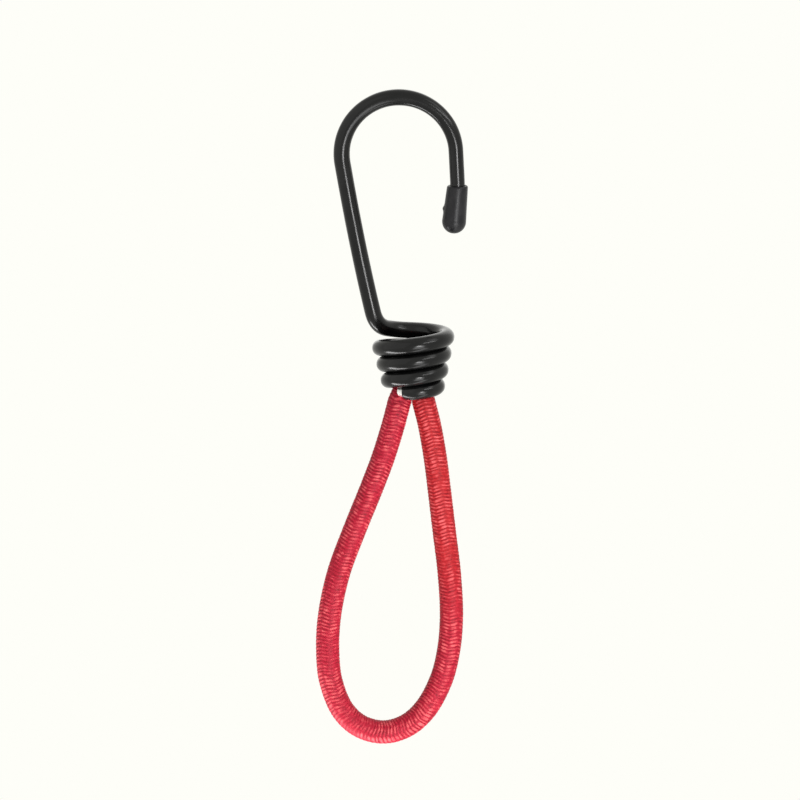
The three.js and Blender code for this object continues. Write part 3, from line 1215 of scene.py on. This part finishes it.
@dataclass
class ElasticCord:
    """The elastic cord: a braided sleeve round rubber strands, both ends held in the coil."""

    coil: ConeCoil
    clip_bottom: float
    clip: ClipShape = ClipShape()
    wire: Wire = Wire()
    braid: BraidShape = BraidShape()
    fibre: FibreShape = FibreShape()
    diameter: float = 0.00542
    sleeve_wall: float = 0.0005
    strand_clearance: float = 0.00004
    outer_strands: int = 6
    strand_dome: float = 0.25
    strand_dome_ring: float = 0.7
    end_bulge: float = 1 / 3
    touch: float = 0.00005
    press_step: float = 0.00001
    sleeve_sides: int = 64
    strand_sides: int = 16
    curve_steps: int = 40
    fine_step: float = 0.00013
    coarse_step: float = 0.0003
    fine_below: float = -0.0125
    bore_every: int = 24
    held_bore_every: int = 6
    strand_every: int = 5
    path_every: int = 8
    fixed_end: float = -0.0678
    stretched_end: float = -0.1468

    # Height in the coil's frame, the left and the right end's centre there, and how far both lie to the back
    end_route: tuple[tuple[float, ...], ...] = (
        (-0.0034, -0.00175, 0.00175, 0),
        (-0.0046, -0.0015, 0.0015, 0),
        (-0.0089, -0.0015, 0.0015, 0),
        (-0.0114, -0.00165, 0.0016, 0.0005),
        (-0.0134, -0.00205, 0.0015, 0.0008),
        (-0.0149, -0.0028, 0.0016, 0.00065),
        (-0.0163, -0.0035, 0.00195, 0.0003),
        (-0.0178, -0.00398, 0.00227, 0),
    )

    # The free loop, left leg, bottom and right leg: x, z
    loop_route: tuple[Pair, ...] = (
        (-0.00117, -0.0732), (-0.00347, -0.08072), (-0.00623, -0.08808), (-0.0102, -0.0979),
        (-0.01384, -0.1079), (-0.01585, -0.11753), (-0.01627, -0.1252), (-0.0156, -0.13225),
        (-0.01285, -0.1392), (-0.0089, -0.1429), (-0.0036, -0.1443), (0.0016, -0.1429),
        (0.0059, -0.1392), (0.00968, -0.13225), (0.01143, -0.1252), (0.01203, -0.11753),
        (0.01155, -0.1079), (0.01036, -0.0979), (0.0092, -0.08808), (0.00827, -0.08072),
        (0.00693, -0.0732),
    )

    @property
    def radius(self) -> float:
        """Half the cord's thickness."""
        return self.diameter / 2

    def centre_line(self) -> Array:
        """The cord's centre-line: a smooth curve through the left end, the loop and the right end.

        Returns:
            Points close together, from cut end to cut end.
        """
        ends = np.array(self.end_route)
        left, right = (self.coil.to_object(ends[:, [side, 3, 0]]) for side in (1, 2))
        loop = np.array([(x, 0.0, z) for x, z in self.loop_route])
        points = np.vstack([left, loop, right[::-1]])
        padded = np.vstack([2 * points[0] - points[1], points, 2 * points[-1] - points[-2]])
        share = np.linspace(0, 1, self.curve_steps + 1)[:, None]
        curve = []
        for before, start, end, after in zip(padded, padded[1:], padded[2:], padded[3:]):
            pairs = ((before, start), (start, end), (end, after))
            first, middle, last = (math.sqrt(np.linalg.norm(b - a)) for a, b in pairs)
            leave = (start - before) / first - (end - before) / (first + middle) + (end - start) / middle
            arrive = (end - start) / middle - (after - start) / (middle + last) + (after - end) / last
            leave, arrive = leave * middle, arrive * middle
            cubic = 2 * start - 2 * end + leave + arrive
            square = -3 * start + 3 * end - 2 * leave - arrive
            curve.append((start + leave * share + square * share**2 + cubic * share**3)[:-1])
        return np.vstack([*curve, points[-1:]])

    @cached_property
    def rings(self) -> Rings:
        """Sets the rings, close together where the cord shows, and finds how far it is pressed at each.

        Returns:
            The rings.
        """
        curve = self.centre_line()
        run = run_along(curve)
        height = self.coil.to_coil(curve)[:, 2]
        step = np.where(height < self.fine_below, self.fine_step, self.coarse_step)
        count = np.append(0, np.cumsum(np.diff(run) / step[1:]))
        at = np.interp(np.linspace(0, count[-1], round(count[-1]) + 1), count, run)
        centre = np.column_stack([np.interp(at, run, curve[:, k]) for k in range(3)])
        along = np.gradient(centre, axis=0)
        along /= np.linalg.norm(along, axis=1)[:, None]
        across = np.column_stack([along[:, 2], np.zeros(len(at)), -along[:, 0]])
        across /= np.linalg.norm(across, axis=1)[:, None]
        return Rings(centre, across, along, at, self.reach(centre, across))

    def reach(self, centre: Array, across: Array) -> Array:
        """How far the cord reaches: its own radius, cut back to the other end, the clip and the coil.

        Args:
            centre: the rings' centres.
            across: their directions across the cord.

        Returns:
            One row for each ring and one column for each side.
        """
        local = self.coil.to_coil(centre)
        turn = round_angles(self.sleeve_sides)
        sideways, upwards = across[:, 0:1] * np.cos(turn), across[:, 2:3] * np.cos(turn)
        reach = np.full(sideways.shape, self.radius)

        ends = np.array(self.end_route)[::-1]
        left, right = (np.interp(local[:, 2], ends[:, 0], ends[:, side]) for side in (1, 2))
        held = local[:, 2] >= ends[0, 0]
        sign = np.where(local[:, 0] < (left + right) / 2, 1.0, -1.0)
        towards = np.maximum(sideways * sign[:, None], TINY)
        limit = (right - left - 2 * self.touch)[:, None] / 2 / towards
        reach = np.where(held[:, None], np.minimum(reach, limit), reach)

        ways = (sideways, np.sin(turn), upwards)
        for _ in range(round(self.radius / self.press_step)):
            place = np.stack([local[:, [k]] + reach * way for k, way in enumerate(ways)], axis=-1)
            tight = held[:, None] & ~self.fits(place) & (reach > self.press_step)
            if not tight.any():
                break
            reach = np.where(tight, reach - self.press_step, reach)
        return reach

    def fits(self, place: Array) -> Array:
        """Whether places in the coil's frame are free of the clip and the coil.

        Args:
            place: the places.

        Returns:
            True where the cord may be.
        """
        x, y, height = np.moveaxis(place, -1, 0)
        top = self.clip_bottom + self.clip.height
        outside = np.maximum(np.maximum(height - top, self.clip_bottom - height), 0)
        lead = np.clip(outside / self.clip.strip - 1, 0, 1)
        clipped = self.clip.depth / 2 - self.touch
        clip_room = clipped + (self.clip.span + self.diameter - clipped) * lead
        from_line = np.hypot(np.maximum(np.abs(x) - self.clip.span / 2, 0), y)
        wall = self.wire.radius + self.wire.swell + self.touch
        past_end = (self.wire.bare_end + self.touch) / (FULL_TURN * self.coil.radius_at(self.coil.end_turn))
        coil_room = self.coil.room(place, wall, past_end)
        return (from_line <= clip_room) & (np.hypot(x, y) <= coil_room)

    def braid_recipe(self) -> Recipe:
        """Raises the braid's floats on a smooth sleeve, and stores how high each place is.

        Returns:
            The recipe, with the braid's sizes as named inputs.
        """
        recipe = Recipe("braid_relief", (*asdict(self.braid), "girth"))
        given = recipe.given
        along = recipe.attribute("along")
        place = recipe.attribute("around") * given("columns") + along / given("twist_length")
        climb = given("girth") / given("columns") * given("slant") / given("pitch")
        heights = []
        for neighbour in (-1.0, 0.0, 1.0):
            column = place.math("FLOOR") + neighbour
            strand = column.math("FLOORED_MODULO", given("columns"))
            where = along / given("wander_length") + strand * given("strand_shift") + given("seed")
            noise = {"W": where, "Scale": given("wander_scale"), "Detail": 1.0}
            drift = recipe.add("ShaderNodeTexNoise", noise, noise_dimensions="1D")
            phase = along / given("pitch") + (drift - 0.5) * given("wander")
            offset = place - column - 0.5
            side = 1 - 2 * column.math("FLOORED_MODULO", 2.0)
            across = phase - offset * climb * side
            across = across - across.math("ROUND")
            crown = (1 - (across / given("half_float")) ** 2).math("MAXIMUM", 0.0)
            spread = offset.math("ABSOLUTE")
            taper = 1 - given("end_drop") * (spread * 2) ** given("end_power")
            heights.append(crown * taper * spread.math("LESS_THAN", given("overlap")))
        left, middle, right = heights
        highest = left.math("MAXIMUM", middle).math("MAXIMUM", right).math("MAXIMUM", 0.0)
        rib = {"Geometry": given("Geometry"), "Name": "rib", "Value": highest * recipe.attribute("braided")}
        stored = recipe.add("GeometryNodeStoreNamedAttribute", rib, data_type="FLOAT", domain="POINT")
        recipe.end(recipe.raised(stored, recipe.attribute("rib") * given("relief")))
        return recipe

    def sleeve(self) -> Thing:
        """The braided sleeve, a wall with rolled lips at its two cut ends.

        Returns:
            The sleeve.
        """
        rings, sides = self.rings, self.sleeve_sides
        count = len(rings.run)
        turn = round_angles(sides)
        every = np.arange(count)
        held_run = 2 * self.bore_every * self.coarse_step
        held = every[np.minimum(rings.run, rings.run[-1] - rings.run) < held_run][:: self.held_bore_every]
        inner = np.unique(np.concatenate([every[:: self.bore_every], held, [count - 1]]))
        skin = rings.outline(every, turn, (0, 0), 1 - self.braid.relief / self.radius)
        bore = rings.outline(inner, turn, (0, 0), 1 - 2 * self.sleeve_wall / self.diameter)
        lip = rings.outline(np.array([0, count - 1]), turn, (0, 0), 1 - self.sleeve_wall / self.diameter)
        lip += rings.ends_out(self.end_bulge * self.sleeve_wall)
        points = np.concatenate([skin, bore, lip]).reshape(-1, 3)

        first_bore, first_lip = count * sides, (count + len(inner)) * sides
        skin_end, bore_end, last_lip = first_bore - sides, first_lip - sides, first_lip + sides
        faces = tube(count, sides) + tube(len(inner), sides, first_bore, inward=True)
        faces += band(0, first_lip, sides, inward=True) + band(first_bore, first_lip, sides)
        faces += band(skin_end, last_lip, sides) + band(bore_end, last_lip, sides, inward=True)

        piece = new_piece("cord_sleeve", points, faces)
        run = np.concatenate([rings.run, rings.run[inner], rings.run[BOTH_ENDS]])
        around = np.tile(np.arange(sides) / sides, len(run))
        along = np.repeat(run, sides)
        girth = np.column_stack([np.cos(around * FULL_TURN), np.sin(around * FULL_TURN)]) * self.radius
        set_attribute(piece, "around", around)
        set_attribute(piece, "along", along)
        set_attribute(piece, "braided", np.arange(len(along)) < first_bore)
        set_attribute(piece, RedBraid.attribute, np.column_stack([girth, along]))
        values = asdict(self.braid) | {"girth": math.pi * self.diameter}
        self.braid_recipe().apply(piece, RedBraid().build(), values)
        return settle(piece)

    def strand(self, number: int, finish: Material) -> Thing:
        """One rubber strand of the core, domed at its cut ends.

        Args:
            number: which strand, the last being the middle one.
            finish: the strands' material.

        Returns:
            The strand.
        """
        rings = self.rings
        radius = (self.radius - self.sleeve_wall - 2 * self.strand_clearance) / 3
        ring = 2 * radius + self.strand_clearance if number <= self.outer_strands else 0
        angle = FULL_TURN * (number - 1) / self.outer_strands
        offset = np.array([math.cos(angle), math.sin(angle)]) * ring / self.radius
        count, sides = len(rings.run), self.strand_sides
        pick = np.unique(np.append(np.arange(0, count, self.strand_every), count - 1))
        turn = round_angles(sides)
        body = rings.outline(pick, turn, offset, radius / self.radius)
        dome = self.strand_dome * radius
        caps = rings.outline(pick[BOTH_ENDS], turn, offset, self.strand_dome_ring * radius / self.radius)
        caps += rings.ends_out(dome)
        poles = caps.mean(axis=1, keepdims=True) + rings.ends_out(self.end_bulge * dome)
        rows = np.concatenate([caps[:1], body, caps[1:]])
        points = np.concatenate([rows.reshape(-1, 3), poles.reshape(-1, 3)])
        pole = len(rows) * sides
        faces = tube(len(rows), sides)
        faces += fan(pole, 0, sides, flip=True) + fan(pole + 1, pole - sides, sides)
        piece = new_piece(f"cord_strand_{number}", points, faces, finish)
        run = np.concatenate([rings.run[:1], rings.run[pick], rings.run[-1:]])
        flat = np.tile(np.column_stack([np.cos(turn), np.sin(turn)]) * radius, (len(run), 1))
        place = np.vstack([np.column_stack([flat, np.repeat(run, sides)]), [(0, 0, run[0]), (0, 0, run[-1])]])
        set_attribute(piece, NaturalLatex.attribute, place + (number, 0, 0))
        return piece

    def fibre_recipe(self) -> Recipe:
        """Short yarn ends that stand on the points of a cut rim and splay outwards.

        Returns:
            The recipe, with the fibres' sizes and a seed as named inputs.
        """
        recipe = Recipe("cut_fibres", ("Length", "Radius", "Splay"), {"Seed": "NodeSocketInt"})
        fibre, given = self.fibre, recipe.given

        def random(low: Any, high: Any, kind: str, index: int) -> Signal:
            """A random value or vector for each fibre.

            Args:
                low: the least value.
                high: the greatest value.
                kind: FLOAT or FLOAT_VECTOR.
                index: what the seed is shifted by.

            Returns:
                The value's signal.
            """
            suffix = "" if kind == "FLOAT_VECTOR" else "_001"
            values = {"Min" + suffix: low, "Max" + suffix: high, "Seed": given("Seed") + float(index)}
            return recipe.add("FunctionNodeRandomValue", values, "Value" + suffix, data_type=kind)

        cone = {
            "Vertices": fibre.sides,
            "Radius Top": given("Radius") * fibre.point,
            "Radius Bottom": given("Radius"),
            "Depth": given("Length"),
        }
        wobble = random((-fibre.wobble,) * 3, (fibre.wobble,) * 3, "FLOAT_VECTOR", 0)
        outward = recipe.attribute("rim_outward", "FLOAT_VECTOR")
        lean = recipe.vector("SCALE", outward, random(0.0, 1.0, "FLOAT", 1) * given("Splay"))
        axis = recipe.attribute("rim_axis", "FLOAT_VECTOR")
        way = recipe.vector("ADD", recipe.vector("ADD", lean, wobble), axis)
        size = {"X": 1.0, "Y": 1.0, "Z": random(*fibre.lengths, "FLOAT", 2)}
        placed = {
            "Points": given("Geometry"),
            "Instance": recipe.add("GeometryNodeMeshCone", cone),
            "Rotation": recipe.add("FunctionNodeAlignRotationToVector", {"Vector": way}, axis="Z"),
            "Scale": recipe.add("ShaderNodeCombineXYZ", size),
        }
        recipe.end(recipe.add("GeometryNodeInstanceOnPoints", placed))
        return recipe

    def fibres(self) -> Thing:
        """The cut yarn ends on both rims of the sleeve.

        Returns:
            The fibres as one piece.
        """
        fibre, rings = self.fibre, self.rings
        ends = np.array([0, len(rings.run) - 1])
        points = rings.outline(ends, round_angles(fibre.rows), (0, 0), 1 - self.sleeve_wall / self.diameter)
        outward = points - rings.centre[ends][:, None]
        outward /= np.linalg.norm(outward, axis=-1)[..., None]
        piece = new_piece("cut_yarn_ends", points.reshape(-1, 3), [])
        set_attribute(piece, "rim_outward", outward)
        set_attribute(piece, "rim_axis", np.repeat(rings.ends_out(1), fibre.rows, axis=1))
        values = {"Length": fibre.length, "Radius": fibre.radius, "Splay": fibre.splay, "Seed": fibre.seed}
        self.fibre_recipe().apply(piece, LooseFibre().build(), values)
        return settle(piece)

    def build(self) -> None:
        rings, latex = self.rings, NaturalLatex().build()
        sleeve = self.sleeve()
        strands = [self.strand(k + 1, latex) for k in range(self.outer_strands + 1)]
        fibres = self.fibres()
        core = [(strand, f"latex_strand_{k}", NaturalLatex.slot) for k, strand in enumerate(strands, 1)]
        for piece, node, slot in [(sleeve, "braided_sheath", RedBraid.slot), *core]:
            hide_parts(node)
            start, end = (0, 0, self.fixed_end), (0, 0, self.stretched_end)
            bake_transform(piece)
            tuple(start)
            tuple(end)
            log.info("%s: %d faces", piece.name, len(piece.data.polygons))
        hang(fibres, Body.GRIP, None, LooseFibre.slot)
        tuple(rings.centre[0])
        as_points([tuple(point) for point in rings.centre[:: self.path_every]] + [tuple(rings.centre[-1])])
        log.info("cord: %.4f m from cut end to cut end", rings.run[-1])


def facing(thing: Thing, target: Vector, away: Vector, distance: float) -> None:
    """Stands a camera or lamp at a distance from the target, turned towards it."""
    thing.location = target + away * distance
    thing.rotation_euler = away.to_track_quat("Z", "Y").to_euler()


@dataclass(frozen=True)
class Lamp:
    """A soft box, by where it stands round the object and how much of a colour's plain level it gives."""

    name: str
    azimuth: float
    elevation: float
    distance: float
    width: float
    height: float
    level: float

    def build(self, target: Vector) -> None:
        """Sets the lamp up, facing the target.

        Args:
            target: the point that it lights.
        """
        turn, rise = math.radians(self.azimuth), math.radians(self.elevation)
        away = Vector((math.sin(turn) * math.cos(rise), -math.cos(turn) * math.cos(rise), math.sin(rise)))
        data = bpy.data.lights.new(self.name, "AREA")
        data.shape = "RECTANGLE"
        data.size, data.size_y = self.width, self.height
        data.energy = math.pi**2 * self.level * self.distance**2
        lamp = place_object(self.name, data)
        facing(lamp, target, away, self.distance)
        lamp.visible_camera = False


@dataclass
class Studio:
    """Camera, lamps, floor and surroundings."""

    target: tuple[float, ...] = (0.00027, 0.0, -0.06784)
    camera_elevation: float = math.radians(6.5)
    camera_distance: float = 6.0
    view_width: float = 0.1828
    sensor_width: float = 36.0
    far_clip: float = 30.0
    white: Colour = (0.991, 0.991, 0.939, 1)
    ambient_colour: Colour = (1, 1, 1, 1)
    ambient: float = 0.16
    floor_height: float = -0.36
    floor_radius: float = 3.0
    floor_sides: int = 96
    shade_radius: float = 0.1
    white_radius: float = 0.6
    least_glow: float = 0.45
    floor_colour: Colour = (0.9, 0.9, 0.87, 1)
    lamps: tuple[Lamp, ...] = (
        Lamp("front_strip", 18, -7, 0.5, 0.12, 0.08, 0.29),
        Lamp("front_box", 21, -25, 0.4, 0.19, 0.25, 0.44),
        Lamp("under_left_strip", -92, -62, 0.26, 0.055, 0.21, 0.95),
        Lamp("under_front_box", 50, -62, 0.26, 0.07, 0.2, 0.2),
        Lamp("upper_right_box", 66, 43, 0.6, 0.2, 0.3, 0.1),
        Lamp("right_strip", 46, 26, 0.6, 0.36, 0.05, 0.2),
        Lamp("left_fill_box", -56, 18, 0.9, 1.3, 1.3, 0.23),
        Lamp("back_fill_box", 175, 20, 0.9, 1.0, 1.0, 0.2),
    )

    def build(self) -> None:
        """Sets everything up round the object."""
        self.camera()
        for lamp in self.lamps:
            lamp.build(Vector(self.target))
        self.floor()
        self.surroundings()
        bpy.context.scene.view_settings.view_transform = "Standard"

    def camera(self) -> None:
        """The camera at the photograph's viewing angle, level with the horizon."""
        rise = self.camera_elevation
        data = bpy.data.cameras.new("studio_camera")
        data.sensor_width = self.sensor_width
        data.lens = self.sensor_width * self.camera_distance / self.view_width
        data.clip_end = self.far_clip
        camera = place_object("studio_camera", data)
        away = Vector((0, -math.cos(rise), math.sin(rise)))
        facing(camera, Vector(self.target), away, self.camera_distance)
        bpy.context.scene.camera = camera

    @staticmethod
    def seen_directly(nodes: Nodes) -> Signal:
        """1 for the camera's rays, also by way of gloss or glass, and 0 for those that light the object.

        Args:
            nodes: the nodes of the world or of a material.

        Returns:
            The signal, 0 or 1.
        """
        rays = ("Is Camera Ray", "Is Glossy Ray", "Is Transmission Ray")
        camera, gloss, glass = (nodes.add("ShaderNodeLightPath", None, name) for name in rays)
        return camera.math("MAXIMUM", gloss).math("MAXIMUM", glass)

    def surroundings(self) -> None:
        """A white background, dimmer where it only lights the object."""
        world = bpy.data.worlds.new("surroundings")
        world.use_nodes = True
        bpy.context.scene.world = world
        nodes = Nodes(world.node_tree)
        shown = nodes.add("ShaderNodeBackground", {"Color": self.white, "Strength": 1.0})
        light = nodes.add("ShaderNodeBackground", {"Color": self.ambient_colour, "Strength": self.ambient})
        surface = nodes.mix_shaders(self.seen_directly(nodes), light, shown)
        nodes.add("ShaderNodeOutputWorld", {"Surface": surface})

    def floor(self) -> None:
        """A pale floor that keeps the object's shadow, plain white further out and clear from below."""
        turn = round_angles(self.floor_sides)
        rim = np.column_stack([np.cos(turn), np.sin(turn), np.zeros_like(turn)]) * self.floor_radius
        material, nodes = new_material("pale_floor")
        place = nodes.add("ShaderNodeTexCoord", None, "Object")
        flat = nodes.vector("MULTIPLY", place, (1, 1, 0))
        reach = nodes.add("ShaderNodeVectorMath", {"Vector": flat}, "Value", operation="LENGTH")
        glow = nodes.ease(reach, self.shade_radius, self.white_radius, self.least_glow)
        matt = nodes.add("ShaderNodeBsdfDiffuse", {"Color": self.floor_colour})
        shining = nodes.add("ShaderNodeEmission", {"Color": self.white, "Strength": 1.0})
        top = nodes.mix_shaders(glow * self.seen_directly(nodes), matt, shining)
        back = nodes.add("ShaderNodeNewGeometry", None, "Backfacing")
        both = nodes.mix_shaders(back, top, nodes.add("ShaderNodeBsdfTransparent"))
        nodes.add("ShaderNodeOutputMaterial", {"Surface": both})
        faces = [tuple(range(self.floor_sides))]
        new_piece("studio_floor", rim + (0, 0, self.floor_height), faces, material)


def main() -> None:
    """Builds the studio, then the cord, the clip and the hook."""
    logging.basicConfig(level=logging.INFO, format="%(name)s: %(message)s")
    Studio().build()
    coil = ConeCoil.on_swivel(frame["record"])
    clip_bottom = ClipShape().seat(coil, Wire())
    ElasticCord(coil, clip_bottom).build()
    CordGrip(coil, clip_bottom).build()
    WireHook(coil).build()


if __name__ == "__main__":
    main()
